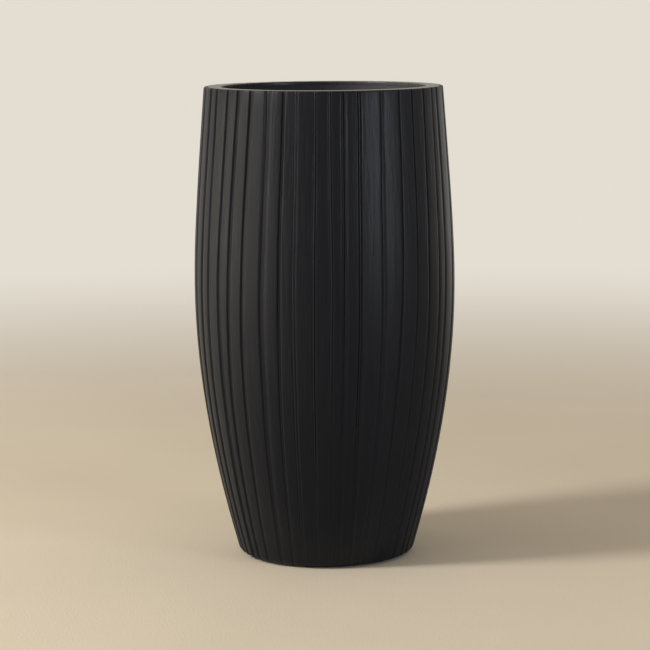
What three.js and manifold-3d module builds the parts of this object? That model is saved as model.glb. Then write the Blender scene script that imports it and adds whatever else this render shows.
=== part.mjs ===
// A tall barrel-shaped planter with hand-cut upright ribs, moulded in glass-fibre laminate.
// The ribbed shell is laid up through its open foot: its top turns in as a flat lip and its foot as a
// narrow flange. A collar is bonded under the lip, a floor pan is bonded in the foot with a pull-out
// rubber plug in its drain hole, and four rubber pads carry the weight.
// Millimetres, +Z up. The origin is on the ground under the centre, and -Y is the front.
import * as THREE from "three";
import { mergeVertices } from "three/addons/utils/BufferGeometryUtils.js";
import Module from "manifold-3d";

// Driving dimensions: the outside of the wall, over the ribs
const height = 813;
const rimRadius = 206;
const bellyRadius = 226;
const bellyHeight = 475;
const footRadius = 151;
const bendAbove = 120; // how far above the belly the round wall turns straight
const bendBelow = 750; // and how far below it
const rimRound = 3; // rounding of the lip's two top edges
const footRound = 9; // rounding of the wall into the foot

// Laminate
const laminate = 5; // wall behind the grooves
const lipWidth = 29.5; // flat top, from the ribs to the opening
const lipThickness = 6;
const footFlangeWidth = 41; // from the foot's outside to its opening
const footFlangeThickness = 5;
const bondGap = 0.3; // bond line, and the clearance of loose pieces

// Ribs and grooves, in degrees round the wall: each row is [pitch from this groove to the next,
// width of this groove, turn of this groove from foot to rim]. The rows run across the front from
// left to right, and the back runs the same rows in reverse.
const firstGroove = -78.2;
const grooveDepth = 3;
const grooveFloorShare = 0.4; // of a groove's width
const frontRibs = [
  [8.7, 2.4, 1.5],
  [7.7, 2.6, 3.3],
  [8.1, 2.4, 3.4],
  [6.8, 2.1, 5.3],
  [8.2, 2.0, 6.4],
  [10.6, 2.4, 5.4],
  [8.0, 3.0, 3.4],
  [6.5, 2.6, 2.9],
  [8.4, 1.8, 1.4],
  [7.4, 1.6, 2.3],
  [5.9, 2.4, 0.3],
  [6.8, 2.6, 2.4],
  [10.4, 2.3, 2.4],
  [8.6, 2.5, 3.3],
  [7.6, 2.8, 5.5],
  [9.0, 2.6, 4.8],
  [8.0, 2.6, 5.8],
  [6.5, 2.6, 5.1],
  [9.1, 2.6, 4.3],
];
const ribsRepeatedAtBack = 7; // rows used once more to close the circle

// Collar under the lip
const collarThickness = 4;
const collarDepth = 60;
const collarFlangeWidth = 16;

// Floor pan
const panThickness = 6;
const panFlangeHeight = 42;
const panFlangeThickness = 5;
const sumpRadius = 60;
const sumpDrop = 2;
const plugSeatRadius = 23;
const drainRadius = 13;

// Drain plug
const plugClearance = 0.3;
const plugTaper = 1.2;
const plugShank = 9;
const plugFlangeRadius = 19;
const plugFlangeThickness = 3;
const plugNeckRadius = 6;
const plugNeckHeight = 6;
const plugHeadRadius = 9;
const plugHeadThickness = 4;
const plugEdge = 1; // rounding of the plug's edges, drawn as a bevel

// Foot pads
const padThickness = 3; // with its bond line
const padRadius = 12;
const padCircleRadius = 125;
const padCount = 4;
const firstPadAngle = 45;

// Facets
const turnedFacets = 72;
const padFacets = 24;
const wallSteps = 9;
const roundSteps = 3;
const overshoot = 10; // how far a cutter runs past the face it opens

const wasm = await Module();
wasm.setup();

const flangeTop = padThickness + footFlangeThickness;
const panUnderside = flangeTop + bondGap;
const panTop = panUnderside + panThickness;
const panFlangeTop = panUnderside + panFlangeHeight;
const lipUnderside = height - lipThickness;
const openingRadius = rimRadius - lipWidth;
const footOpeningRadius = footRadius - footFlangeWidth;

// Radius of the wall over the ribs: two hyperbolas that meet level at the belly.
function wallRadius(z) {
  const above = z > bellyHeight;
  const bend = above ? bendAbove : bendBelow;
  const reach = above ? height - bellyHeight : bellyHeight;
  const drop = bellyRadius - (above ? rimRadius : footRadius);
  const swell = (x) => Math.hypot(1, x / bend) - 1;
  return bellyRadius - (drop * swell(z - bellyHeight)) / swell(reach);
}

function innerRadius(z) {
  return wallRadius(z) - grooveDepth - laminate;
}

// The grooves in order, each with its middle at half height, its width and its turn.
function grooves() {
  const backRibs = [...frontRibs].reverse().concat(frontRibs.slice(0, ribsRepeatedAtBack));
  const sum = (rows) => rows.reduce((total, [pitch]) => total + pitch, 0);
  const backScale = (360 - sum(frontRibs)) / sum(backRibs);
  const rows = [...frontRibs, ...backRibs.map(([pitch, ...rest]) => [pitch * backScale, ...rest])];
  let middle = firstGroove;
  return rows.map(([pitch, width, turn]) => {
    const groove = { middle, width, turn };
    middle += pitch;
    return groove;
  });
}

// One level section of the ribbed wall: flat rib faces between flat-bottomed grooves.
function ribbedSection(radius, z) {
  const section = [];
  for (const { middle, width, turn } of grooves()) {
    const centre = middle + turn * (z / height - 0.5);
    const edge = width / 2;
    const floor = (width * grooveFloorShare) / 2;
    const corners = [
      [-edge, 0],
      [-floor, grooveDepth],
      [floor, grooveDepth],
      [edge, 0],
    ];
    for (const [offset, depth] of corners) {
      const angle = THREE.MathUtils.degToRad(centre + offset);
      const r = radius - depth;
      section.push(new THREE.Vector3(r * Math.sin(angle), -r * Math.cos(angle), z));
    }
  }
  return section;
}

// A closed solid through level sections with as many points each, from the lowest to the highest.
function loftedGeometry(sections) {
  const count = sections[0].length;
  const points = sections.flat();
  const lowest = points.push(new THREE.Vector3(0, 0, sections[0][0].z)) - 1;
  const highest = points.push(new THREE.Vector3(0, 0, sections.at(-1)[0].z)) - 1;
  const topRing = (sections.length - 1) * count;
  const faces = [];
  for (let i = 0; i < count; i++) {
    const next = (i + 1) % count;
    faces.push(lowest, next, i, highest, topRing + i, topRing + next);
    for (let ring = 0; ring < topRing; ring += count) {
      const [a, b] = [ring + i, ring + next];
      faces.push(a, b, b + count, a, b + count, a + count);
    }
  }
  return new THREE.BufferGeometry().setFromPoints(points).setIndex(faces);
}

// Points [inset, rise] of a quarter round that starts level and ends upright.
function quarterRound(radius) {
  return Array.from({ length: roundSteps + 1 }, (_, i) => {
    const angle = (i / roundSteps) * (Math.PI / 2);
    return [radius * (1 - Math.sin(angle)), radius * (1 - Math.cos(angle))];
  });
}

// A solid turned round +Z from [radius, z] points in order up its outside.
function turnedGeometry(profile, facets = turnedFacets) {
  const points = profile.map(([radius, z]) => new THREE.Vector2(radius, z));
  return new THREE.LatheGeometry(points, facets).rotateX(Math.PI / 2);
}

function closedProfile(profile) {
  return [...profile, profile[0]];
}

function solidOf(geometry) {
  const bare = geometry.index ? geometry.toNonIndexed() : geometry.clone();
  bare.deleteAttribute("normal");
  bare.deleteAttribute("uv");
  const merged = mergeVertices(bare);
  const vertProperties = new Float32Array(merged.attributes.position.array);
  const triVerts = new Uint32Array(merged.index.array);
  return new wasm.Manifold(new wasm.Mesh({ numProp: 3, vertProperties, triVerts }));
}

function geometryOf(solid) {
  const mesh = solid.getMesh();
  const positions = new THREE.BufferAttribute(new Float32Array(mesh.vertProperties), 3);
  const geometry = new THREE.BufferGeometry().setAttribute("position", positions);
  geometry.setIndex(new THREE.BufferAttribute(new Uint32Array(mesh.triVerts), 1));
  return geometry;
}

function shellGeometry() {
  const sections = quarterRound(footRound).map(([inset, rise]) => {
    const z = padThickness + rise;
    return ribbedSection(wallRadius(z) - inset, z);
  });
  const wallFoot = padThickness + footRound;
  const wallTop = height - rimRound;
  for (let i = 1; i < wallSteps; i++) {
    const z = THREE.MathUtils.lerp(wallFoot, wallTop, i / wallSteps);
    sections.push(ribbedSection(wallRadius(z), z));
  }
  for (const [inset, rise] of quarterRound(rimRound).reverse()) {
    const z = height - rise;
    sections.push(ribbedSection(wallRadius(z) - inset, z));
  }

  const hollow = [
    [0, -overshoot],
    [footOpeningRadius, -overshoot],
    [footOpeningRadius, flangeTop],
    [innerRadius(flangeTop), flangeTop],
  ];
  for (let i = 0; i <= wallSteps; i++) {
    const z = THREE.MathUtils.lerp(panFlangeTop, lipUnderside, i / wallSteps);
    hollow.push([innerRadius(z), z]);
  }
  hollow.push([openingRadius, lipUnderside]);
  for (const [inset, rise] of quarterRound(rimRound).reverse())
    hollow.push([openingRadius + inset, height - rise]);
  hollow.push([openingRadius + rimRound, height + overshoot], [0, height + overshoot]);
  return geometryOf(solidOf(loftedGeometry(sections)).subtract(solidOf(turnedGeometry(hollow))));
}

function collarGeometry() {
  const top = lipUnderside - bondGap;
  const bottom = top - collarDepth;
  const shoulder = top - collarThickness;
  const outside = openingRadius + collarThickness;
  const flange = openingRadius + collarFlangeWidth;
  return turnedGeometry(
    closedProfile([
      [openingRadius, bottom],
      [outside, bottom],
      [outside, shoulder],
      [flange, shoulder],
      [flange, top],
      [openingRadius, top],
    ]),
  );
}

function panGeometry() {
  const outside = (z) => innerRadius(z) - bondGap;
  const seat = panTop - sumpDrop;
  return turnedGeometry(
    closedProfile([
      [drainRadius, panUnderside],
      [outside(flangeTop), panUnderside],
      [outside(panFlangeTop), panFlangeTop],
      [outside(panFlangeTop) - panFlangeThickness, panFlangeTop],
      [outside(flangeTop) - panFlangeThickness, panTop],
      [sumpRadius, panTop],
      [plugSeatRadius, seat],
      [drainRadius, seat],
    ]),
  );
}

function plugGeometry() {
  const seat = panTop - sumpDrop + plugClearance;
  const shankTop = drainRadius - plugClearance;
  const flangeTopZ = seat + plugFlangeThickness;
  const headBottom = flangeTopZ + plugNeckHeight;
  const headTop = headBottom + plugHeadThickness;
  return turnedGeometry([
    [0, seat - plugShank],
    [shankTop - plugTaper - plugEdge, seat - plugShank],
    [shankTop - plugTaper, seat - plugShank + plugEdge],
    [shankTop, seat],
    [plugFlangeRadius, seat],
    [plugFlangeRadius, flangeTopZ - plugEdge],
    [plugFlangeRadius - plugEdge, flangeTopZ],
    [plugNeckRadius, flangeTopZ],
    [plugNeckRadius, headBottom],
    [plugHeadRadius, headBottom],
    [plugHeadRadius, headTop - plugEdge],
    [plugHeadRadius - plugEdge, headTop],
    [0, headTop],
  ]);
}

function padGeometry() {
  const thickness = padThickness - bondGap;
  return new THREE.CylinderGeometry(padRadius, padRadius, thickness, padFacets)
    .rotateX(Math.PI / 2)
    .translate(0, 0, thickness / 2);
}

const mattBlack = new THREE.MeshStandardMaterial({ color: 0x29292b, roughness: 0.55, metalness: 0 });
const rawLaminate = new THREE.MeshStandardMaterial({ color: 0x2e2d2b, roughness: 0.8, metalness: 0 });
const rubber = new THREE.MeshStandardMaterial({ color: 0x1c1c1c, roughness: 0.75, metalness: 0 });

const planter = new THREE.Group();

function addPiece(name, geometry, material) {
  const mesh = new THREE.Mesh(geometry, material);
  mesh.name = name;
  planter.add(mesh);
  return mesh;
}

addPiece("ribbed_shell", shellGeometry(), mattBlack);
addPiece("rim_collar", collarGeometry(), mattBlack);
addPiece("floor_pan", panGeometry(), rawLaminate);
addPiece("drain_plug", plugGeometry(), rubber);
for (let i = 0; i < padCount; i++) {
  const angle = THREE.MathUtils.degToRad(firstPadAngle + (360 * i) / padCount);
  const pad = addPiece(`foot_pad_${i + 1}`, padGeometry(), rubber);
  pad.position.set(padCircleRadius * Math.sin(angle), -padCircleRadius * Math.cos(angle), 0);
}

export default planter;
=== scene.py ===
import math
import random

import bpy
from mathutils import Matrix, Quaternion, Vector, noise


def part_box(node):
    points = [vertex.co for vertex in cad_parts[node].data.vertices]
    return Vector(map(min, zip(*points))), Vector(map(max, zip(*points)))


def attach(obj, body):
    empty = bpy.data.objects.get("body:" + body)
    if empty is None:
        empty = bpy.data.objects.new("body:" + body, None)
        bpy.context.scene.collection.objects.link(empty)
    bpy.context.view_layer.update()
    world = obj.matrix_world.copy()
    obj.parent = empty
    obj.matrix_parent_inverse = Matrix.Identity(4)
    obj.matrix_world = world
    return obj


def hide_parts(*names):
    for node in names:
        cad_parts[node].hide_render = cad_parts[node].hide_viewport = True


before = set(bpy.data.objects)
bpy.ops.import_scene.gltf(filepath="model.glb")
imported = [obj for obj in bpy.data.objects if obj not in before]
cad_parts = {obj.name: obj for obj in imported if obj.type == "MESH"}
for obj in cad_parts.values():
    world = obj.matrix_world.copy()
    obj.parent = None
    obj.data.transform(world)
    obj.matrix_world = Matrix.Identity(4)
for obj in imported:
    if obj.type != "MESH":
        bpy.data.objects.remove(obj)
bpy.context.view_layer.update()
print("frame loaded")

mm = 0.001


# ---- small helpers for node trees and meshes

def addNode(tree, kind, **settings):
    node = tree.nodes.new(kind)
    for name, value in settings.items():
        setattr(node, name, value)
    return node


def feed(tree, socket, value):  # links a socket, or sets a plain value
    if isinstance(value, bpy.types.NodeSocket):
        tree.links.new(value, socket)
    else:
        socket.default_value = value


def calc(tree, operation, *values, clamp=False):
    node = addNode(tree, "ShaderNodeMath", operation=operation, use_clamp=clamp)
    for socket, value in zip(node.inputs, values):
        feed(tree, socket, value)
    return node.outputs[0]


def softStep(tree, value):  # eases 0 to 1, and holds it there
    held = calc(tree, "MAXIMUM", calc(tree, "MINIMUM", value, 1.0), 0.0)
    slope = calc(tree, "SUBTRACT", 3.0, calc(tree, "MULTIPLY", held, 2.0))
    return calc(tree, "MULTIPLY", calc(tree, "MULTIPLY", held, held), slope)


def softCorners(points, steps=5):
    # each point is (radius, height, size of its rounding)
    flatFrom = 1.15  # roundings from the corner: a point there keeps the flat beside it flat
    path = []
    count = len(points)
    for i, (radius, height, size) in enumerate(points):
        corner = Vector((radius, height))
        if not size:
            path.append(corner)
            continue
        before = (Vector(points[i - 1][:2]) - corner).normalized()
        after = (Vector(points[(i + 1) % count][:2]) - corner).normalized()
        path.append(corner + before * size * flatFrom)
        for k in range(steps + 1):
            t = k / steps
            path.append(corner + before * size * (1 - t) ** 2 + after * size * t ** 2)
        path.append(corner + after * size * flatFrom)
    return path


def newPiece(name, mesh):
    piece = bpy.data.objects.new(name, mesh)
    bpy.context.scene.collection.objects.link(piece)
    return piece


def turnedPiece(name, path, around, material, closed=True, reshape=None):
    # path runs up the outside in metres; a closed one joins its ends, an open one ends on the axis
    verts, faces = [], []
    onAxis = [not closed and i in (0, len(path) - 1) for i in range(len(path))]
    starts = []
    for point, single in zip(path, onAxis):
        starts.append(len(verts))
        for k in range(1 if single else around):
            angle = 2 * math.pi * k / around
            radius, height = reshape(point.x, point.y, angle) if reshape else point
            verts.append((radius * math.sin(angle), -radius * math.cos(angle), height))
    for i in range(len(path) if closed else len(path) - 1):
        j = (i + 1) % len(path)
        for k in range(around):
            n = (k + 1) % around
            low = [starts[i]] if onAxis[i] else [starts[i] + k, starts[i] + n]
            high = [starts[j]] if onAxis[j] else [starts[j] + n, starts[j] + k]
            faces.append(low + high)
    mesh = bpy.data.meshes.new(name)
    mesh.from_pydata(verts, [], faces)
    mesh.shade_smooth()
    mesh.materials.append(material)
    return newPiece(name, mesh)


# ---- camera

view = {
    "place": (0, -4.2907, 0.9975),
    "lookDown": 7.949,  # degrees
    "roll": -0.379,
    "lens": 138, "sensor": 36,  # millimetres: 7.4 degrees to each side
    "farEnd": 200,
}


def makeCamera():
    data = bpy.data.cameras.new("camera")
    data.lens = view["lens"]
    data.sensor_width = view["sensor"]
    data.clip_end = view["farEnd"]
    camera = bpy.data.objects.new("camera", data)
    camera.location = view["place"]
    camera.rotation_mode = "QUATERNION"
    tilt = Quaternion((1, 0, 0), math.radians(90 - view["lookDown"]))
    camera.rotation_quaternion = tilt @ Quaternion((0, 0, 1), math.radians(view["roll"]))
    bpy.context.scene.collection.objects.link(camera)
    bpy.context.scene.camera = camera


makeCamera()
bpy.context.scene.view_settings.view_transform = "Standard"
print("camera set")


# ---- materials

def newMaterial(name):
    material = bpy.data.materials.new(name)
    material.use_nodes = True
    tree = material.node_tree
    return material, tree, tree.nodes["Principled BSDF"]


def placeOf(tree, stretch=None):  # object coordinates in metres, stretched for streaks
    coords = addNode(tree, "ShaderNodeTexCoord").outputs["Object"]
    if not stretch:
        return coords
    mapping = addNode(tree, "ShaderNodeMapping")
    feed(tree, mapping.inputs["Vector"], coords)
    mapping.inputs["Scale"].default_value = stretch
    return mapping.outputs["Vector"]


def noiseOn(tree, place, scale, detail=3.0):
    node = addNode(tree, "ShaderNodeTexNoise")
    feed(tree, node.inputs["Vector"], place)
    node.inputs["Scale"].default_value = scale
    node.inputs["Detail"].default_value = detail
    return node.outputs["Fac"]


def mixed(tree, share, first, second):
    node = addNode(tree, "ShaderNodeMix", data_type="RGBA")
    feed(tree, node.inputs["Factor"], share)
    for socket, colour in zip((node.inputs["A"], node.inputs["B"]), (first, second)):
        feed(tree, socket, (*colour, 1) if isinstance(colour, tuple) else colour)
    return node.outputs["Result"]


def ranged(tree, value, low, high, fromLow=0.3, fromHigh=0.7):  # the defaults suit a noise
    node = addNode(tree, "ShaderNodeMapRange")
    for name, number in (("Value", value), ("From Min", fromLow), ("From Max", fromHigh),
                         ("To Min", low), ("To Max", high)):
        feed(tree, node.inputs[name], number)
    return node.outputs["Result"]


def bumped(tree, height, distance, under=None):
    node = addNode(tree, "ShaderNodeBump")
    node.inputs["Distance"].default_value = distance
    feed(tree, node.inputs["Height"], height)
    if under:
        feed(tree, node.inputs["Normal"], under)
    return node.outputs["Normal"]


dullCoat = {  # inside of the mouth
    "colour": (0.028, 0.026, 0.027),
    "paintedLitSide": (0.090, 0.083, 0.090),  # painted light: the side that the key lamp lights is painted paler
    "paintedLitFrom": 0.0, "paintedLitTo": 0.11,  # metres over which that painted light eases in towards that side
    "cloudScale": 9,
    "roughness": (0.62, 0.75),
    "specular": 0.28,
    "brushed": 0.0004,  # depth of the brush marks, which run round
    "brushScale": 260, "brushStretch": (0.2, 0.2, 1),
}

gelCoat = {
    "colour": (0.0066, 0.0067, 0.0082),
    "paler": (0.0106, 0.0105, 0.0116),  # patches where the coat has gone chalky
    "wornAndHighlit": (0.017, 0.0165, 0.016),  # arrises of the ribs: wear, and also a painted highlight along them
    "roughness": (0.40, 0.47),
    "rubbedLip": 0.15,  # how much smoother the lip is rubbed
    "specular": 0.28,
    "patchScale": 5,
    "peel": 0.00008, "peelScale": 620,  # depth and fineness of the orange peel
    "marks": 0.0007, "markScale": 170, "markStretch": (1, 1, 0.03),  # upright tool marks
    "fineMarks": 0.00022, "fineScale": 520, "fineStretch": (1, 1, 0.02),
}


def dullColour(tree):  # cloudy, and painted lighter towards the side that the key lamp lights
    place = placeOf(tree)
    split = addNode(tree, "ShaderNodeSeparateXYZ")
    feed(tree, split.inputs[0], place)
    # painted light: the coat is painted paler towards its lit side
    paintedLitShare = ranged(tree, split.outputs["X"], 0, 1, dullCoat["paintedLitFrom"], dullCoat["paintedLitTo"])
    cloud = noiseOn(tree, place, dullCoat["cloudScale"], 4)
    paintedLitShare = calc(tree, "MULTIPLY", paintedLitShare, ranged(tree, cloud, 0.8, 1.0))
    return mixed(tree, paintedLitShare, dullCoat["colour"], dullCoat["paintedLitSide"])


def onWall(tree, name):  # a number that the ribbed wall carries
    return addNode(tree, "ShaderNodeAttribute", attribute_name=name).outputs["Fac"]


def makeGelCoat():
    material, tree, shader = newMaterial("matt black gel coat")
    place = placeOf(tree)
    patches = noiseOn(tree, place, gelCoat["patchScale"], 4)
    streaks = noiseOn(tree, placeOf(tree, gelCoat["markStretch"]), gelCoat["markScale"], 3)
    fine = noiseOn(tree, placeOf(tree, gelCoat["fineStretch"]), gelCoat["fineScale"], 2)
    grain = noiseOn(tree, place, gelCoat["peelScale"], 2)
    arris, tone, dull, lip = (onWall(tree, name) for name in ("arris", "tone", "dull", "lip"))
    chalk = calc(tree, "MULTIPLY", ranged(tree, patches, 0, 1), ranged(tree, streaks, 0.3, 1))
    chalk = calc(tree, "ADD", calc(tree, "MULTIPLY", chalk, 0.7), calc(tree, "MULTIPLY", tone, 0.3))
    colour = mixed(tree, chalk, gelCoat["colour"], gelCoat["paler"])
    # worn arrises painted lighter, which also serves as a painted highlight along them
    wearAndHighlight = calc(tree, "MULTIPLY", arris, ranged(tree, grain, 0.1, 0.9))
    colour = mixed(tree, wearAndHighlight, colour, gelCoat["wornAndHighlit"])
    # where dull, the inner coat's colour, with its painted light towards the lit side
    feed(tree, shader.inputs["Base Color"], mixed(tree, dull, colour, dullColour(tree)))
    roughness = ranged(tree, streaks, *gelCoat["roughness"])
    rubbed = calc(tree, "MULTIPLY", lip, gelCoat["rubbedLip"])
    feed(tree, shader.inputs["Roughness"], calc(tree, "SUBTRACT", roughness, rubbed))
    shader.inputs["Specular IOR Level"].default_value = gelCoat["specular"]
    marks = bumped(tree, fine, gelCoat["fineMarks"], bumped(tree, streaks, gelCoat["marks"]))
    feed(tree, shader.inputs["Normal"], bumped(tree, grain, gelCoat["peel"], marks))
    return material


rawLaminate = {
    "resin": (0.050, 0.047, 0.048),
    "strand": (0.130, 0.122, 0.122),
    "roughness": (0.6, 0.8),
    "strandLay": (20, 75, 140),  # degrees, three lays of chopped strands
    "strandScale": 42, "strandStretch": (1, 12, 12),
    "shownFrom": 0.52, "shownTo": 0.75,  # how much of the strands the resin leaves to see
    "lumpScale": 60,
    "specular": 0.4,
    "relief": 0.0006,
}


def makeRawLaminate():
    material, tree, shader = newMaterial("bare chopped strand laminate")
    strands = None
    for turn in rawLaminate["strandLay"]:
        mapping = addNode(tree, "ShaderNodeMapping")
        feed(tree, mapping.inputs["Vector"], placeOf(tree))
        mapping.inputs["Rotation"].default_value = [math.radians(part) for part in (turn, turn * 2, turn)]
        mapping.inputs["Scale"].default_value = rawLaminate["strandStretch"]
        lay = noiseOn(tree, mapping.outputs["Vector"], rawLaminate["strandScale"], 2)
        strands = calc(tree, "MAXIMUM", strands, lay) if strands else lay
    shown = ranged(tree, strands, 0, 1, rawLaminate["shownFrom"], rawLaminate["shownTo"])
    lumps = noiseOn(tree, placeOf(tree), rawLaminate["lumpScale"], 3)
    colour = mixed(tree, shown, rawLaminate["resin"], rawLaminate["strand"])
    feed(tree, shader.inputs["Base Color"], colour)
    feed(tree, shader.inputs["Roughness"], ranged(tree, lumps, *rawLaminate["roughness"]))
    shader.inputs["Specular IOR Level"].default_value = rawLaminate["specular"]
    relief = bumped(tree, shown, rawLaminate["relief"])
    feed(tree, shader.inputs["Normal"], bumped(tree, lumps, rawLaminate["relief"] * 2, relief))
    return material


mouldedRubber = {
    "colour": (0.012, 0.012, 0.012),
    "bloom": (0.024, 0.024, 0.025), "bloomScale": 55,  # the grey bloom on old rubber
    "roughness": (0.62, 0.78),
    "specular": 0.35,
    "grain": 0.00008, "grainScale": 1800,
}


def makeRubber():
    material, tree, shader = newMaterial("moulded black rubber")
    place = placeOf(tree)
    bloom = noiseOn(tree, place, mouldedRubber["bloomScale"], 4)
    speckle = noiseOn(tree, place, mouldedRubber["grainScale"], 2)
    colour = mixed(tree, ranged(tree, bloom, 0, 1), mouldedRubber["colour"], mouldedRubber["bloom"])
    feed(tree, shader.inputs["Base Color"], colour)
    feed(tree, shader.inputs["Roughness"], ranged(tree, speckle, *mouldedRubber["roughness"]))
    shader.inputs["Specular IOR Level"].default_value = mouldedRubber["specular"]
    feed(tree, shader.inputs["Normal"], bumped(tree, speckle, mouldedRubber["grain"]))
    return material


def makeDullCoat():
    material, tree, shader = newMaterial("dull inner coat")
    brushed = noiseOn(tree, placeOf(tree, dullCoat["brushStretch"]), dullCoat["brushScale"], 3)
    feed(tree, shader.inputs["Base Color"], dullColour(tree))
    feed(tree, shader.inputs["Roughness"], ranged(tree, brushed, *dullCoat["roughness"]))
    shader.inputs["Specular IOR Level"].default_value = dullCoat["specular"]
    feed(tree, shader.inputs["Normal"], bumped(tree, brushed, dullCoat["brushed"]))
    return material


gelCoatMaterial = makeGelCoat()
dullCoatMaterial = makeDullCoat()
laminateMaterial = makeRawLaminate()
rubberMaterial = makeRubber()
print("materials made")


# ---- ribbed wall

shellLow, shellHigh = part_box("ribbed_shell")

wall = {  # millimetres; radii are over the ribs
    "rimRadius": 206, "bellyRadius": 226, "footRadius": 151,
    "bellyHeight": 475, "bendAbove": 120, "bendBelow": 750,
    "skin": 0.5,  # how far the finished ribs stay inside the solid's outline
    "rimRound": 2.6, "lipInnerRound": 1.8, "footRound": 9,
    "lipWidth": 29.5, "lipThickness": 6,
    "notchReach": 6.5,  # how far the grooves notch the lip, from its rounding inwards
    "footFlangeWidth": 41, "footFlangeThickness": 5,
    "soleInset": 6,  # from the foot's rounding to the flat of the flange's underside
    "innerDepth": 8,  # from the ribs to the smooth inside
    "innerRound": 7,
    "innerFrom": 20, "innerTo": 40,  # where the inside's rows start above the flange and end under the lip
    "fullDepthAt": 0.70,  # share of the height from which a groove has its full depth
    "wander": 0.4, "wanderSeed": 3.0,  # degrees a groove strays to each side
    "waves": 0.5,  # hand-made unevenness of the faces
    "toneSeed": 7,
    "wallRows": 26, "innerRows": 5, "footSteps": 5, "rimSteps": 4, "flangeRows": 3,
    "stepsPerRib": 30, "stepsPerGroove": 20,
    "firstGroove": -78.2,  # degrees from the front
    "ribsLeftOut": 2, "ribsRepeated": 7,  # rows the back skips, and rows it takes once more
    "sewWithin": 0.00002,  # metres
}

# from left to right across the front, each groove with the rib at its right: degrees to the next groove,
# turn of this groove from foot to rim, how low the rib's left and right edges are, share of the groove's
# depth left at the foot, then the groove's cut as (degrees from its middle, depth)
frontRibs = [
    (8.7, 1.5, 0.5, 0.6, 0.9, [(-2.1, 0), (-1.1, 3.8), (0.8, 3.8), (2.0, 0)]),
    (7.7, 3.3, 0.4, 0.4, 0.9, [(-1.2, 0), (-0.3, 3.6), (0.9, 3.5), (2.3, 0)]),
    (8.1, 3.4, 0.5, 0.0, 0.9, [(-1.3, 0), (-0.3, 3.0), (1.7, 0)]),
    (6.8, 5.3, 0.6, 0.3, 0.8, [(-0.8, 0), (0.4, 3.2), (1.6, 3.2), (2.8, 0)]),
    (8.2, 6.4, 0.2, 0.5, 0.7, [(-1.0, 0), (0.0, 2.9), (2.2, 0)]),
    (10.6, 5.4, 0.2, 0.0, 0.6, [(-1.1, 0), (0.0, 2.9), (0.8, 2.5), (1.9, 0)]),
    (8.0, 3.4, 0.4, 0.4, 0.35, [(-1.6, 0), (-0.9, 3.4), (0.1, 3.4), (0.7, 3.4), (1.2, 1.3), (2.3, 0)]),
    (6.5, 2.9, 0.0, 0.3, 0.3, [(-1.0, 0), (-0.6, 2.8), (-0.2, 2.8), (0.2, 1.3), (0.6, 1.8), (1.1, 0)]),
    (8.4, 1.4, 0.0, 0.1, 0.25, [(-1.3, 0), (-0.7, 1.9), (0.15, 0), (0.75, 1.3), (1.2, 0)]),
    (7.4, 2.3, 0.0, 0.1, 0.25, [(-0.8, 0), (-0.4, 1.5), (0.35, 0), (0.65, 1.9), (1.0, 0)]),
    (5.9, 0.3, 0.1, 0.0, 0.25, [(-0.5, 0), (-0.15, 1.2), (0.5, 0), (0.75, 0.1), (1.0, 1.3), (1.3, 0)]),
    (6.8, 2.4, 0.7, 0.0, 0.25, [(-1.3, 0), (-1.0, 1.2), (-0.4, 0.1), (0.15, 1.9), (0.65, -0.6), (2.0, 0)]),
    (10.4, 2.4, 0.0, 0.0, 0.25, [(-0.6, 0), (-0.3, 2.3), (0.0, 0), (0.5, 0.3), (0.8, 2.3), (1.25, 0),
                                 (1.9, 0.25), (2.8, 0)]),
    (8.6, 3.3, 0.1, 0.4, 0.25, [(-1.0, 0), (-0.5, 2.7), (0.3, 1.5), (2.2, 0)]),
    (7.6, 5.5, 0.2, 0.1, 0.25, [(-0.2, 0), (0.6, 2.5), (1.4, 0)]),
    (9.0, 4.8, 0.3, 0.2, 0.3, [(0.9, 0), (1.6, 2.6), (2.3, 0)]),
    (8.0, 5.8, 0.4, 0.1, 0.5, [(-0.3, 0), (0.3, 3.4), (1.0, 3.4), (1.8, 0)]),
    (6.5, 5.1, 0.5, 0.2, 0.7, [(-0.1, 0), (0.6, 3.5), (1.3, 3.5), (2.1, 0)]),
    (10.4, 4.3, 0.7, 0.1, 0.8, [(-0.7, 0), (0.4, 3.2), (0.8, 3.2), (2.6, 0)]),
    (7.7, 7.4, 0.5, 0.1, 0.8, [(-0.7, 0), (0.1, 3.8), (2.5, 3.8), (3.5, 0)]),  # just in sight at the right
]


def wallRadius(height):  # millimetres; two hyperbolas that meet level at the belly
    above = height > wall["bellyHeight"]
    bend = wall["bendAbove"] if above else wall["bendBelow"]
    reach = shellHigh.z / mm - wall["bellyHeight"] if above else wall["bellyHeight"]
    drop = wall["bellyRadius"] - (wall["rimRadius"] if above else wall["footRadius"])

    def swell(x):
        return math.hypot(1, x / bend) - 1

    return wall["bellyRadius"] - drop * swell(height - wall["bellyHeight"]) / swell(reach)


def innerRadius(height):
    return wallRadius(height) - wall["innerDepth"]


def grooveRows():  # all grooves in order: the back takes the front's rows in reverse
    back = frontRibs[:-wall["ribsLeftOut"]][::-1] + frontRibs[:wall["ribsRepeated"]]
    scale = (360 - sum(row[0] for row in frontRibs)) / sum(row[0] for row in back)
    rows = frontRibs + [(pitch * scale, *rest) for pitch, *rest in back]
    middle = wall["firstGroove"]
    placed = []
    for pitch, *rest in rows:
        placed.append((middle, *rest))
        middle += pitch
    return placed


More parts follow.
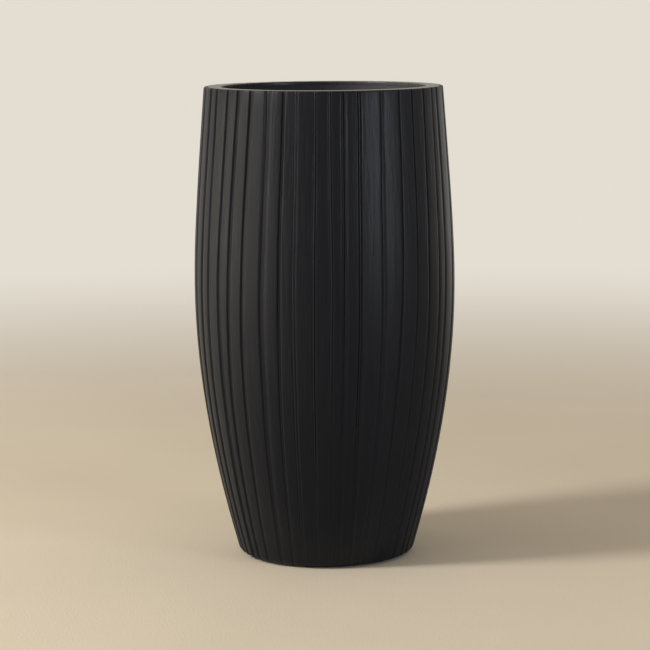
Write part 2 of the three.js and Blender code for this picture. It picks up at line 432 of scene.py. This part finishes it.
def wallSection():
    # closed section of the wall: place in metres, share of the ribs, 1 on the bare inside, 1 where dull
    low, high = shellLow.z / mm, shellHigh.z / mm
    flangeTop = low + wall["footFlangeThickness"]
    opening = wall["rimRadius"] - wall["lipWidth"]
    footOpening = wall["footRadius"] - wall["footFlangeWidth"]
    underLip = high - wall["lipThickness"]
    rounding = wall["footRound"]
    edge = 0.5  # rings this far from an edge keep the flat beside it flat
    section = []

    def add(radius, height, ribs, inside, dull=0):
        section.append((Vector((radius * mm, height * mm)), ribs, inside, dull))

    sole = wallRadius(low) - rounding - wall["soleInset"] - footOpening
    for i in range(wall["flangeRows"] + 1):  # underside of the foot flange
        add(footOpening + sole * i / wall["flangeRows"], low, 0, 1)
    for i in range(wall["footSteps"] + 1):
        angle = i / wall["footSteps"] * math.pi / 2
        height = low + rounding * (1 - math.cos(angle))
        add(wallRadius(height) - wall["skin"] - rounding * (1 - math.sin(angle)), height, 1, 0)
    rim = wall["rimRound"]
    for i in range(1, wall["wallRows"]):
        height = low + rounding + (high - low - rounding - rim) * i / wall["wallRows"]
        add(wallRadius(height) - wall["skin"], height, 1, 0)
    steps = wall["rimSteps"]
    for i in range(steps + 1):
        angle = i / steps * math.pi / 2
        height = high - rim + rim * math.sin(angle)
        add(wallRadius(height) - wall["skin"] - rim * (1 - math.cos(angle)), height, 1, 0)
    add(wall["rimRadius"] - wall["skin"] - rim - edge, high, 1, 0)
    add(wall["rimRadius"] - rim - wall["notchReach"], high, 0, 0)
    inner = wall["lipInnerRound"]
    add(opening + inner + edge, high, 0, 0)
    for i in range(steps + 1):
        angle = i / steps * math.pi / 2
        add(opening + inner * (1 - math.sin(angle)), high - inner * (1 - math.cos(angle)), 0, 0, i / steps)
    add(opening, high - inner - edge, 0, 0, 1)
    add(opening, underLip + edge, 0, 0, 1)
    add(opening, underLip, 0, 0, 1)
    innerTop, innerLow = underLip - wall["innerTo"], flangeTop + wall["innerFrom"]
    for point in softCorners([(opening + edge, underLip, 0),
                              (innerRadius(underLip), underLip, wall["innerRound"]),
                              (innerRadius(innerTop), innerTop, 0)], 4):
        add(point.x, point.y, 0, 1)
    for i in range(1, wall["innerRows"]):
        height = innerTop + (innerLow - innerTop) * i / wall["innerRows"]
        add(innerRadius(height), height, 0, 1)
    for point in softCorners([(innerRadius(innerLow), innerLow, 0),
                              (innerRadius(flangeTop), flangeTop, wall["innerRound"]),
                              (footOpening, flangeTop, 0)], 4):
        add(point.x, point.y, 0, 1)
    return section


def pointMesh(name, points, **attributes):  # loose points that carry named numbers
    mesh = bpy.data.meshes.new(name)
    mesh.from_pydata(points, [], [])
    for key, values in attributes.items():
        mesh.attributes.new(key, "FLOAT", "POINT").data.foreach_set("value", values)
    return mesh


def sampled(tree, geometry, key, index):  # a named number of the point with that index
    named = addNode(tree, "GeometryNodeInputNamedAttribute", data_type="FLOAT")
    named.inputs["Name"].default_value = key
    sample = addNode(tree, "GeometryNodeSampleIndex", data_type="FLOAT", domain="POINT")
    feed(tree, sample.inputs["Geometry"], geometry)
    feed(tree, sample.inputs["Value"], named.outputs["Attribute"])
    feed(tree, sample.inputs["Index"], index)
    return sample.outputs["Value"]


def stored(tree, geometry, key, value):
    store = addNode(tree, "GeometryNodeStoreNamedAttribute", data_type="FLOAT", domain="POINT")
    feed(tree, store.inputs["Geometry"], geometry)
    store.inputs["Name"].default_value = key
    feed(tree, store.inputs["Value"], value)
    return store.outputs["Geometry"]


def strayAt(tree, across, along, seed):  # a smooth random number, about -0.5 to 0.5
    place = addNode(tree, "ShaderNodeCombineXYZ")
    for socket, value in zip(place.inputs, (across, along, seed)):
        feed(tree, socket, value)
    node = addNode(tree, "ShaderNodeTexNoise", noise_dimensions="3D")
    feed(tree, node.inputs["Vector"], place.outputs[0])
    node.inputs["Scale"].default_value = 1
    node.inputs["Detail"].default_value = 1.5
    return calc(tree, "SUBTRACT", node.outputs["Fac"], 0.5)


hand = {  # how the ribs were worked, the same for all of them
    "grooveStep": 7.3, "grooveBends": 3.0,  # how unlike its neighbour a groove strays, and how often
    "strayGain": 4.0,  # brings the noise up to the full wander
    "waveSeed": 40.0, "waveStep": 3.1, "waveBends": 5.0,
    "edgePower": 2.5,  # how close to its edges a rib's face sinks
    "wornAndHighlitCut": 0.15, "wornAndHighlitFace": 0.1,  # shares of a cut and of a face at an arris that are worn and painted lighter as a highlight
    "bareFrom": 0.6,  # from this value of inside on, the wall is bare laminate
}


def ribbedWallTree():
    # wraps a grid on the section given as points, and sinks the grooves of the Grooves and Cuts objects
    tree = bpy.data.node_groups.new("Ribbed wall", "GeometryNodeTree")
    tree.is_modifier = True
    sizes = {
        "Grooves": "NodeSocketObject", "Cuts": "NodeSocketObject", "Ribs": "NodeSocketInt",
        "Steps per Rib": "NodeSocketInt", "Steps per Groove": "NodeSocketInt",
        "Height": "NodeSocketFloat", "Full Depth At": "NodeSocketFloat",
        "Wander": "NodeSocketFloat", "Waves": "NodeSocketFloat", "Seed": "NodeSocketFloat",
        "Face": "NodeSocketMaterial", "Inside": "NodeSocketMaterial",
    }
    tree.interface.new_socket("Geometry", in_out="INPUT", socket_type="NodeSocketGeometry")
    sockets = {name: tree.interface.new_socket(name, in_out="INPUT", socket_type=kind).identifier
               for name, kind in sizes.items()}
    tree.interface.new_socket("Geometry", in_out="OUTPUT", socket_type="NodeSocketGeometry")
    given = addNode(tree, "NodeGroupInput").outputs
    section = given["Geometry"]
    grooves, cuts = (addNode(tree, "GeometryNodeObjectInfo") for _ in range(2))
    feed(tree, grooves.inputs["Object"], given["Grooves"])
    feed(tree, cuts.inputs["Object"], given["Cuts"])
    grooves, cuts = grooves.outputs["Geometry"], cuts.outputs["Geometry"]
    ribs, steps, grooveSteps = given["Ribs"], given["Steps per Rib"], given["Steps per Groove"]

    size = addNode(tree, "GeometryNodeAttributeDomainSize", component="MESH")
    feed(tree, size.inputs["Geometry"], section)
    rows = size.outputs["Point Count"]
    rowsAndSeam = calc(tree, "ADD", rows, 1.0)
    grid = addNode(tree, "GeometryNodeMeshGrid")
    feed(tree, grid.inputs["Vertices X"], calc(tree, "MULTIPLY_ADD", ribs, steps, 1.0))
    feed(tree, grid.inputs["Vertices Y"], rowsAndSeam)

    # where this point is: row of the section, rib, and step across the rib
    index = addNode(tree, "GeometryNodeInputIndex").outputs[0]
    column = calc(tree, "FLOOR", calc(tree, "DIVIDE", calc(tree, "ADD", index, 0.5), rowsAndSeam))
    row = calc(tree, "SUBTRACT", index, calc(tree, "MULTIPLY", column, rowsAndSeam))
    row = calc(tree, "MODULO", row, rows)
    rib = calc(tree, "FLOOR", calc(tree, "DIVIDE", calc(tree, "ADD", column, 0.5), steps))
    step = calc(tree, "SUBTRACT", column, calc(tree, "MULTIPLY", rib, steps))
    here = calc(tree, "MODULO", rib, ribs)
    after = calc(tree, "MODULO", calc(tree, "ADD", rib, 1.0), ribs)
    before = calc(tree, "MODULO", calc(tree, "ADD", rib, calc(tree, "SUBTRACT", ribs, 1.0)), ribs)

    radius = sampled(tree, section, "radius", row)
    height = sampled(tree, section, "height", row)
    ribShare = sampled(tree, section, "ribShare", row)
    inside = sampled(tree, section, "inside", row)
    up = calc(tree, "DIVIDE", height, given["Height"])
    along = calc(tree, "SUBTRACT", up, 0.5)

    def grooveAt(number):  # angle of a groove's middle at this height
        stray = strayAt(tree, calc(tree, "MULTIPLY", number, hand["grooveStep"]),
                        calc(tree, "MULTIPLY", along, hand["grooveBends"]), given["Seed"])
        middle = calc(tree, "MULTIPLY_ADD", sampled(tree, grooves, "turn", number), along,
                      sampled(tree, grooves, "middle", number))
        wander = calc(tree, "MULTIPLY", given["Wander"], hand["strayGain"])
        return calc(tree, "MULTIPLY_ADD", stray, wander, middle)

    # the cut's own steps come first, then face runs 0 to 1 over the rib's face
    middle = grooveAt(here)
    inCut = calc(tree, "MINIMUM", step, grooveSteps)
    cut = calc(tree, "MULTIPLY_ADD", here, calc(tree, "ADD", grooveSteps, 1.0), inCut)
    lap = calc(tree, "MULTIPLY", calc(tree, "LESS_THAN", after, 0.5), 2 * math.pi)
    faceEnd = calc(tree, "ADD", grooveAt(after), sampled(tree, grooves, "cutStart", after))
    faceEnd = calc(tree, "ADD", faceEnd, lap)
    faceStart = calc(tree, "ADD", middle, sampled(tree, grooves, "cutEnd", here))
    faceSteps = calc(tree, "SUBTRACT", steps, grooveSteps)
    face = calc(tree, "DIVIDE", calc(tree, "SUBTRACT", step, grooveSteps), faceSteps)
    face = calc(tree, "MAXIMUM", face, 0.0)
    angle = calc(tree, "ADD", middle, sampled(tree, cuts, "turn", cut))
    angle = calc(tree, "MULTIPLY_ADD", face, calc(tree, "SUBTRACT", faceEnd, faceStart), angle)

    # how deep the point lies under the round outline: the low edges of the faces, the cut and the waves
    fromLeft = calc(tree, "DIVIDE", inCut, grooveSteps)
    toLeft = calc(tree, "SUBTRACT", 1.0, fromLeft)
    lowLeft = calc(tree, "POWER", calc(tree, "SUBTRACT", 1.0, face), hand["edgePower"])
    lowLeft = calc(tree, "MULTIPLY", lowLeft, fromLeft)
    lowLeft = calc(tree, "MULTIPLY", lowLeft, sampled(tree, grooves, "leftLow", here))
    lowRight = calc(tree, "POWER", face, hand["edgePower"])
    lowRight = calc(tree, "MULTIPLY", lowRight, sampled(tree, grooves, "rightLow", here))
    lowBefore = calc(tree, "MULTIPLY", sampled(tree, grooves, "rightLow", before), toLeft)
    low = calc(tree, "ADD", calc(tree, "ADD", lowLeft, lowRight), lowBefore)
    full = softStep(tree, calc(tree, "DIVIDE", up, given["Full Depth At"]))
    footShare = sampled(tree, grooves, "footShare", here)
    full = calc(tree, "MULTIPLY_ADD", full, calc(tree, "SUBTRACT", 1.0, footShare), footShare)
    depth = calc(tree, "MULTIPLY_ADD", sampled(tree, cuts, "depth", cut), full, low)
    place = calc(tree, "ADD", before, fromLeft)  # runs on from rib to rib
    wave = strayAt(tree, calc(tree, "MULTIPLY", place, hand["waveStep"]),
                   calc(tree, "MULTIPLY", along, hand["waveBends"]), hand["waveSeed"])
    depth = calc(tree, "ADD", depth, calc(tree, "MULTIPLY", given["Waves"], calc(tree, "ADD", wave, 0.5)))
    depth = calc(tree, "MAXIMUM", depth, 0.0)
    radius = calc(tree, "SUBTRACT", radius, calc(tree, "MULTIPLY", depth, ribShare))

    place = addNode(tree, "ShaderNodeCombineXYZ")
    feed(tree, place.inputs["X"], calc(tree, "MULTIPLY", radius, calc(tree, "SINE", angle)))
    backward = calc(tree, "MULTIPLY", calc(tree, "COSINE", angle), -1.0)
    feed(tree, place.inputs["Y"], calc(tree, "MULTIPLY", radius, backward))
    feed(tree, place.inputs["Z"], height)

    # numbers that the finish reads: worn arrises, which also carry a painted highlight, and a tone for each
    # rib
    nearFace = calc(tree, "MINIMUM", face, calc(tree, "SUBTRACT", 1.0, face))
    nearCut = calc(tree, "MINIMUM", fromLeft, toLeft)
    atCut = calc(tree, "SUBTRACT", 1.0, calc(tree, "DIVIDE", nearCut, hand["wornAndHighlitCut"]), clamp=True)
    atFace = calc(tree, "SUBTRACT", 1.0, calc(tree, "DIVIDE", nearFace, hand["wornAndHighlitFace"]), clamp=True)
    arris = calc(tree, "MULTIPLY", calc(tree, "MULTIPLY", atCut, atFace), ribShare)
    tone = calc(tree, "MULTIPLY", sampled(tree, grooves, "tone", here), ribShare)
    lip = calc(tree, "SUBTRACT", calc(tree, "SUBTRACT", 1.0, ribShare), inside, clamp=True)
    wrapped = stored(tree, grid.outputs["Mesh"], "arris", arris)
    wrapped = stored(tree, wrapped, "tone", tone)
    wrapped = stored(tree, wrapped, "lip", lip)
    wrapped = stored(tree, wrapped, "dull", sampled(tree, section, "dull", row))
    wrapped = stored(tree, wrapped, "inside", inside)

    bent = addNode(tree, "GeometryNodeSetPosition")
    feed(tree, bent.inputs["Geometry"], wrapped)
    feed(tree, bent.inputs["Position"], place.outputs[0])
    sewn = addNode(tree, "GeometryNodeMergeByDistance")
    feed(tree, sewn.inputs["Geometry"], bent.outputs["Geometry"])
    sewn.inputs["Distance"].default_value = wall["sewWithin"]
    smooth = addNode(tree, "GeometryNodeSetShadeSmooth")
    feed(tree, smooth.inputs["Geometry"], sewn.outputs["Geometry"])
    real = addNode(tree, "GeometryNodeRealizeInstances")
    feed(tree, real.inputs["Geometry"], smooth.outputs["Geometry"])
    outer = addNode(tree, "GeometryNodeSetMaterial")
    feed(tree, outer.inputs["Geometry"], real.outputs["Geometry"])
    feed(tree, outer.inputs["Material"], given["Face"])
    bare = addNode(tree, "GeometryNodeInputNamedAttribute", data_type="FLOAT")
    bare.inputs["Name"].default_value = "inside"
    isBare = addNode(tree, "FunctionNodeCompare", data_type="FLOAT", operation="GREATER_THAN")
    feed(tree, isBare.inputs["A"], bare.outputs["Attribute"])
    isBare.inputs["B"].default_value = hand["bareFrom"]
    inner = addNode(tree, "GeometryNodeSetMaterial")
    feed(tree, inner.inputs["Geometry"], outer.outputs["Geometry"])
    feed(tree, inner.inputs["Selection"], isBare.outputs["Result"])
    feed(tree, inner.inputs["Material"], given["Inside"])
    feed(tree, addNode(tree, "NodeGroupOutput").inputs["Geometry"], inner.outputs["Geometry"])
    return tree, sockets


def plainMesh(piece):  # the modifiers' result becomes the piece's own mesh
    graph = bpy.context.evaluated_depsgraph_get()
    mesh = bpy.data.meshes.new_from_object(
        piece.evaluated_get(graph), preserve_all_data_layers=True, depsgraph=graph)
    piece.modifiers.clear()
    piece.data = mesh


def cutSteps(cut):  # a cut's (degrees, depth) at each of its steps, eased from point to point
    parts = len(cut) - 1
    stations = [cut[0]]
    for k in range(parts):
        steps = wall["stepsPerGroove"] // parts + (k < wall["stepsPerGroove"] % parts)
        (turn, depth), (nextTurn, nextDepth) = cut[k:k + 2]
        for i in range(1, steps + 1):
            t = i / steps
            ease = t * t * (3 - 2 * t)
            stations.append((turn + (nextTurn - turn) * t, depth + (nextDepth - depth) * ease))
    return stations


def makeWall():
    section = wallSection()
    middles, turns, leftLows, rightLows, footShares, shapes = zip(*grooveRows())
    cuts = [station for shape in shapes for station in cutSteps(shape)]
    tones = random.Random(wall["toneSeed"])
    places, ribShare, inside, dull = zip(*section)
    sectionMesh = pointMesh("wall section", [(p.x, 0, p.y) for p in places],
                            radius=[p.x for p in places], height=[p.y for p in places],
                            ribShare=ribShare, inside=inside, dull=dull)
    marks = newPiece("groove marks", pointMesh(
        "groove marks", [(i, 0, 0) for i in range(len(middles))],
        middle=[math.radians(middle) for middle in middles], turn=[math.radians(turn) for turn in turns],
        leftLow=[low * mm for low in leftLows], rightLow=[low * mm for low in rightLows],
        footShare=footShares, tone=[tones.random() for _ in middles],
        cutStart=[math.radians(shape[0][0]) for shape in shapes],
        cutEnd=[math.radians(shape[-1][0]) for shape in shapes]))
    cutMarks = newPiece("cut marks", pointMesh(
        "cut marks", [(i, 0, 0) for i in range(len(cuts))],
        turn=[math.radians(turn) for turn, _ in cuts], depth=[depth * mm for _, depth in cuts]))
    piece = newPiece("ribbed_wall", sectionMesh)
    tree, sockets = ribbedWallTree()
    ribbing = piece.modifiers.new("Ribbed wall", "NODES")
    ribbing.node_group = tree
    values = {
        "Grooves": marks, "Cuts": cutMarks, "Ribs": len(middles),
        "Steps per Rib": wall["stepsPerRib"], "Steps per Groove": wall["stepsPerGroove"],
        "Height": shellHigh.z, "Full Depth At": wall["fullDepthAt"],
        "Wander": math.radians(wall["wander"]), "Waves": wall["waves"] * mm, "Seed": wall["wanderSeed"],
        "Face": gelCoatMaterial, "Inside": laminateMaterial,
    }
    for name, value in values.items():
        ribbing[sockets[name]] = value
    plainMesh(piece)
    bpy.data.objects.remove(marks)
    bpy.data.objects.remove(cutMarks)
    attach(piece, "planter")
    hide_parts("ribbed_shell")
    print("triangles in the wall:", sum(len(face.vertices) - 2 for face in piece.data.polygons))


makeWall()
print("ribbed wall made")


# ---- collar under the lip

collarLow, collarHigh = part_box("rim_collar")

collar = {
    "opening": 176.5, "thickness": 4, "flangeWidth": 16,
    "rounding": 1.4, "bend": 3,
    "trimmed": 0.6,  # how much the lower edge is cut back
    "uneven": 0.35, "unevenUpTo": 12, "unevenBends": 3, "seed": 5,  # how that edge waves
    "around": 180,
}


def makeCollar():
    low, high = collarLow.z / mm, collarHigh.z / mm
    inner, outer = collar["opening"], collar["opening"] + collar["thickness"]
    flange, shoulder = inner + collar["flangeWidth"], high - collar["thickness"]
    rounding = collar["rounding"]
    corners = [
        (inner, low + collar["trimmed"], rounding), (outer, low + collar["trimmed"], rounding),
        (outer, shoulder, collar["bend"]),
        (flange, shoulder, rounding), (flange, high, rounding), (inner, high, 0.2),
    ]

    def trim(radius, height, angle):
        nearEdge = max(0, 1 - (height / mm - low) / collar["unevenUpTo"])
        across, along = math.sin(angle) * collar["unevenBends"], math.cos(angle) * collar["unevenBends"]
        stray = noise.noise(Vector((across, along, collar["seed"])))
        return radius, height + nearEdge * collar["uneven"] * mm * stray

    path = [point * mm for point in softCorners(corners, 4)]
    piece = turnedPiece("lip_collar", path, collar["around"], dullCoatMaterial, reshape=trim)
    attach(piece, "planter")
    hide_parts("rim_collar")


makeCollar()
print("collar made")


# ---- floor pan

panLow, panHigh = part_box("floor_pan")

pan = {
    "thickness": 6, "flange": 5, "gap": 0.3,
    "sumpRadius": 60, "sumpDrop": 2, "seatRadius": 23, "drainRadius": 13,
    "fillet": 9, "rounding": 1.6, "sumpRound": 6, "seatRound": 2, "drainRound": 1,
    "heel": 3,  # bevel between the underside and the flange
    "trimmed": 0.8,  # how much the flange's top edge is cut back
    "uneven": 0.5, "lumpsAround": 6, "lumpsUp": 40, "sag": 1.5,  # lumps of the hand-laid flange
    "smoothSkin": 1.5,  # its bonded side has none
    "around": 200,
}


def makePan():
    low, high = panLow.z / mm, panHigh.z / mm
    floorTop = low + pan["thickness"]
    footTop = low - pan["gap"]

    def outside(height):
        return innerRadius(height) - pan["gap"]

    flangeTop = high - pan["trimmed"]
    corners = [
        (pan["drainRadius"], low, pan["drainRound"]), (outside(footTop) - pan["heel"], low, 0),
        (outside(low + pan["heel"]), low + pan["heel"], 0),
        (outside(flangeTop), flangeTop, pan["rounding"]),
        (outside(flangeTop) - pan["flange"], flangeTop, pan["rounding"]),
        (outside(footTop) - pan["flange"], floorTop, pan["fillet"]),
        (pan["sumpRadius"], floorTop, pan["sumpRound"]),
        (pan["seatRadius"], floorTop - pan["sumpDrop"], pan["seatRound"]),
        (pan["drainRadius"], floorTop - pan["sumpDrop"], pan["drainRound"]),
    ]

    def handLaid(radius, height, angle):
        rise = max(0, (height / mm - floorTop) / (flangeTop - floorTop))
        lumps = pan["lumpsAround"]
        around = Vector((math.sin(angle) * lumps, math.cos(angle) * lumps, height * pan["lumpsUp"]))
        isInner = radius / mm < outside(height / mm) - pan["smoothSkin"]
        lump = abs(noise.noise(around) * pan["uneven"] * mm * rise)
        return radius - lump * (1 if isInner else 0), height - lump * pan["sag"]

    path = [point * mm for point in softCorners(corners, 5)]
    piece = turnedPiece("floor_dish", path, pan["around"], laminateMaterial, reshape=handLaid)
    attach(piece, "planter")
    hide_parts("floor_pan")


makePan()
print("floor pan made")


# ---- drain plug

plugLow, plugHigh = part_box("drain_plug")

plug = {
    "shank": 9, "shankTop": 12.7, "taper": 1.2, "clear": 0.6,  # clear of the drain hole's edge
    "flange": 19, "flangeThickness": 3,
    "neck": 6, "neckHeight": 6, "head": 9,
    "grips": 12, "gripDepth": 0.5,  # flutes round the head
    "around": 96,
}


def makePlug():
    low, high = plugLow.z / mm, plugHigh.z / mm
    seat = low + plug["shank"]
    flangeTop = seat + plug["flangeThickness"]
    headLow = flangeTop + plug["neckHeight"]
    tip, shank = plug["shankTop"] - plug["taper"], plug["shankTop"] - plug["clear"]
    flange, neck, head = plug["flange"], plug["neck"], plug["head"]
    corners = [  # radius, height, rounding
        (0, low, 0), (tip, low, 1.2), (tip + 0.35, low + 3, 0.3),
        (shank, seat - 1.2, 0.4), (shank, seat, 0.3),
        (flange, seat, 0.6), (flange, flangeTop, 1.3),
        (neck, flangeTop + 0.3, 1.6), (neck, headLow, 1),
        (head, headLow, 1.2), (head, high, 1.5),
        (head * 0.5, high - 0.3, 0), (0, high - 0.4, 0),  # the head's top is slightly dished
    ]

    def fluted(radius, height, angle):
        onHead = height / mm > headLow - 0.5 and radius / mm > head * 0.6
        share = 0.5 - 0.5 * math.cos(angle * plug["grips"])
        return radius - (plug["gripDepth"] * mm * share if onHead else 0), height

    path = [point * mm for point in softCorners(corners, 4)]
    piece = turnedPiece("drain_stopper", path, plug["around"], rubberMaterial, closed=False, reshape=fluted)
    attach(piece, "plug")
    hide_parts("drain_plug")


makePlug()
print("drain plug made")


# ---- foot pads

pad = {
    "edge": 0.5, "swell": 0.1,  # rounding, and how much the sides swell
    "rings": (5, 8.5), "ringDepth": 0.4, "ringWidth": 0.8, "ringRound": 0.15,  # moulded rings on the sole
    "around": 64,
}


def makePad(number):
    low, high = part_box(f"foot_pad_{number}")
    centre = (low + high) / 2
    radius, top, edge = (high.x - low.x) / 2 / mm, high.z / mm, pad["edge"]
    half, depth, rounding = pad["ringWidth"] / 2, pad["ringDepth"], pad["ringRound"]
    corners = [(0, 0, 0)]
    for ring in pad["rings"]:
        corners += [(ring - half, 0, rounding), (ring - half, depth, rounding),
                    (ring + half, depth, rounding), (ring + half, 0, rounding)]
    corners += [(radius - pad["swell"], 0, edge), (radius, top * 0.5, 0.3),
                (radius - pad["swell"], top, edge), (0, top, 0)]
    path = [point * mm for point in softCorners(corners, 3)]
    piece = turnedPiece(f"rubber_foot_{number}", path, pad["around"], rubberMaterial, closed=False)
    for vertex in piece.data.vertices:
        vertex.co += Vector((centre.x, centre.y, 0))
    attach(piece, "planter")
    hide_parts(f"foot_pad_{number}")


for number in range(1, 5):
    makePad(number)
print("foot pads made")


# ---- studio

studio = {
    "floorColour": (0.68, 0.60, 0.475),
    "cloudScale": 2.2, "cloudDark": 0.95,  # faint clouds in the floor's colour
    "sandScale": 240, "sandRelief": 0.0006,
    "litFloor": (0.50, 0.475, 0.43),  # what the planter sees of the floor at its left
    "litBehind": (0.72, 0.68, 0.61),  # and behind it at its left
    "shadedFrontFloor": (0.30, 0.30, 0.32),  # what it sees of the floor in front, painted in shade
    "shadowedRightFloor": (0.34, 0.335, 0.335),  # and close by at its right, painted in the planter's shadow
    "farColour": (0.775, 0.730, 0.644),  # backdrop, seen by the camera and in reflections
    "floorRadius": 14, "floorSides": 96,
    "fade": (0.9, 4.5),  # metres from the planter where the floor turns into the backdrop
    "behind": (0.95, 0.89, 0.79),  # light that comes from behind the planter
    "behindLeft": (0.44, 0.385, 0.31),
    "behindRight": (0.55, 0.53, 0.50),
    "inFront": (0.26, 0.27, 0.31),
    "above": (0.46, 0.40, 0.32),
    "aimHeight": 0.4,  # the lamps point here
}

zones = {  # from where to where one colour eases into the next
    "front": (-0.30, -0.15), "right": (0.05, 0.3), "close": (1.8, 2.8),  # metres on the floor
    "behind": (-0.05, 0.25), "behindLean": 0.6,  # this edge runs aslant
    "farFloor": (0.8, 2.5),
    "toBack": (-0.05, 0.6), "toTop": (0.35, 0.85),  # share of a direction from the planter
    "toRight": (0.1, 0.5), "toLeft": (-0.1, -0.5), "toBackdrop": (0.45, 0.95),
}

lamps = [  # degrees round from the camera's side (left is minus), degrees up, metres away, size, watts
    {"name": "key", "round": -69, "up": 34, "away": 4.5, "size": (1.0, 1.0),
     "power": 142, "colour": (1, 0.975, 0.93)},
    {"name": "wide", "round": -66, "up": 3, "away": 4.0, "size": (5.2, 1.4),
     "power": 33, "colour": (1, 0.95, 0.91)},
    {"name": "side", "round": -99, "up": 4, "away": 4.0, "size": (0.7, 1.2),
     "power": 14, "colour": (1, 0.92, 0.80)},
    {"name": "fill", "round": 50, "up": 12, "away": 3.6, "size": (1.1, 1.0),
     "power": 30, "colour": (0.86, 0.91, 1)},
    {"name": "edge", "round": 142, "up": 1, "away": 4.0, "size": (1.2, 0.8),
     "power": 2.0, "colour": (1, 0.98, 0.96)},
]


def pathsOf(tree):  # 1 on what the camera sees, and 1 on what shows in a reflection or through glass
    paths = addNode(tree, "ShaderNodeLightPath").outputs
    mirrored = calc(tree, "MAXIMUM", paths["Is Glossy Ray"], paths["Is Transmission Ray"])
    return paths["Is Camera Ray"], mirrored


def eased(tree, value, zone, start=0, end=1):  # start to end over a zone, and level outside it
    return softStep(tree, ranged(tree, value, start, end, *zones[zone]))


def makeFloor():
    material, tree, shader = newMaterial("pale floor")
    place = placeOf(tree)
    cloud = noiseOn(tree, place, studio["cloudScale"], 4)
    sand = noiseOn(tree, place, studio["sandScale"], 3)
    darker = tuple(channel * studio["cloudDark"] for channel in studio["floorColour"])
    seen, mirrored = pathsOf(tree)
    split = addNode(tree, "ShaderNodeSeparateXYZ")
    feed(tree, split.inputs[0], place)
    x, y = split.outputs["X"], split.outputs["Y"]
    # for reflections, the floor's colour is painted lit at the left and behind, and painted in shade in
    # front and in the planter's shadow at the right
    front, close = eased(tree, y, "front", 1, 0), eased(tree, y, "close", 1, 0)
    right = eased(tree, x, "right")
    behind = eased(tree, calc(tree, "MULTIPLY_ADD", x, zones["behindLean"], y), "behind")
    reflected = mixed(tree, behind, studio["litFloor"], studio["litBehind"])
    reflected = mixed(tree, calc(tree, "MULTIPLY", right, close), reflected, studio["shadowedRightFloor"])
    reflected = mixed(tree, front, reflected, studio["shadedFrontFloor"])
    clouded = mixed(tree, ranged(tree, cloud, 0, 1), darker, studio["floorColour"])
    feed(tree, shader.inputs["Base Color"], mixed(tree, seen, reflected, clouded))
    shader.inputs["Roughness"].default_value = 0.9
    shader.inputs["Specular IOR Level"].default_value = 0.2
    feed(tree, shader.inputs["Normal"], bumped(tree, sand, studio["sandRelief"]))
    length = addNode(tree, "ShaderNodeVectorMath", operation="LENGTH")
    feed(tree, length.inputs[0], place)
    far = softStep(tree, ranged(tree, length.outputs["Value"], 0, 1, *studio["fade"]))
    glow = addNode(tree, "ShaderNodeEmission")
    glow.inputs["Color"].default_value = (*studio["farColour"], 1)
    blend = addNode(tree, "ShaderNodeMixShader")
    mirroredBack = calc(tree, "MULTIPLY", mirrored, eased(tree, y, "farFloor"))
    shown = calc(tree, "MAXIMUM", seen, mirroredBack)
    feed(tree, blend.inputs[0], calc(tree, "MULTIPLY", far, shown))
    feed(tree, blend.inputs[1], shader.outputs[0])
    feed(tree, blend.inputs[2], glow.outputs[0])
    feed(tree, tree.nodes["Material Output"].inputs["Surface"], blend.outputs[0])
    mesh = bpy.data.meshes.new("floor")
    radius, sides = studio["floorRadius"], studio["floorSides"]
    turns = [2 * math.pi * i / sides for i in range(sides)]
    edge = [(radius * math.cos(turn), radius * math.sin(turn), 0) for turn in turns]
    mesh.from_pydata(edge, [], [list(range(sides))])
    mesh.materials.append(material)
    newPiece("floor", mesh)


def makeWorld():
    world = bpy.data.worlds.new("studio")
    bpy.context.scene.world = world
    world.use_nodes = True
    tree = world.node_tree
    direction = addNode(tree, "ShaderNodeTexCoord").outputs["Generated"]
    split = addNode(tree, "ShaderNodeSeparateXYZ")
    feed(tree, split.inputs[0], direction)
    x, y, z = (split.outputs[axis] for axis in "XYZ")
    toBack, toTop = eased(tree, y, "toBack"), eased(tree, z, "toTop")
    toRight, toLeft = eased(tree, x, "toRight"), eased(tree, x, "toLeft")
    back = mixed(tree, toRight, studio["behind"], studio["behindRight"])
    back = mixed(tree, toLeft, back, studio["behindLeft"])
    around = mixed(tree, toBack, studio["inFront"], back)
    lit = addNode(tree, "ShaderNodeBackground")
    feed(tree, lit.inputs["Color"], mixed(tree, toTop, around, studio["above"]))
    shown = addNode(tree, "ShaderNodeBackground")
    shown.inputs["Color"].default_value = (*studio["farColour"], 1)
    blend = addNode(tree, "ShaderNodeMixShader")
    seen, mirrored = pathsOf(tree)
    mirroredBack = calc(tree, "MULTIPLY", mirrored, eased(tree, y, "toBackdrop"))
    feed(tree, blend.inputs[0], calc(tree, "MAXIMUM", seen, mirroredBack))
    feed(tree, blend.inputs[1], lit.outputs[0])
    feed(tree, blend.inputs[2], shown.outputs[0])
    feed(tree, tree.nodes["World Output"].inputs["Surface"], blend.outputs[0])


def makeLamp(lamp):
    data = bpy.data.lights.new(lamp["name"], "AREA")
    data.shape = "ELLIPSE"
    data.size, data.size_y = lamp["size"]
    data.energy = lamp["power"]
    data.color = lamp["colour"]
    light = bpy.data.objects.new(lamp["name"], data)
    turn, rise = math.radians(lamp["round"]), math.radians(lamp["up"])
    towards = Vector((math.sin(turn) * math.cos(rise), -math.cos(turn) * math.cos(rise), math.sin(rise)))
    light.location = Vector((0, 0, studio["aimHeight"])) + towards * lamp["away"]
    light.rotation_mode = "QUATERNION"
    light.rotation_quaternion = towards.to_track_quat("Z", "Y")
    light.visible_camera = False
    bpy.context.scene.collection.objects.link(light)


makeFloor()
makeWorld()
for lamp in lamps:
    makeLamp(lamp)
print("studio made")
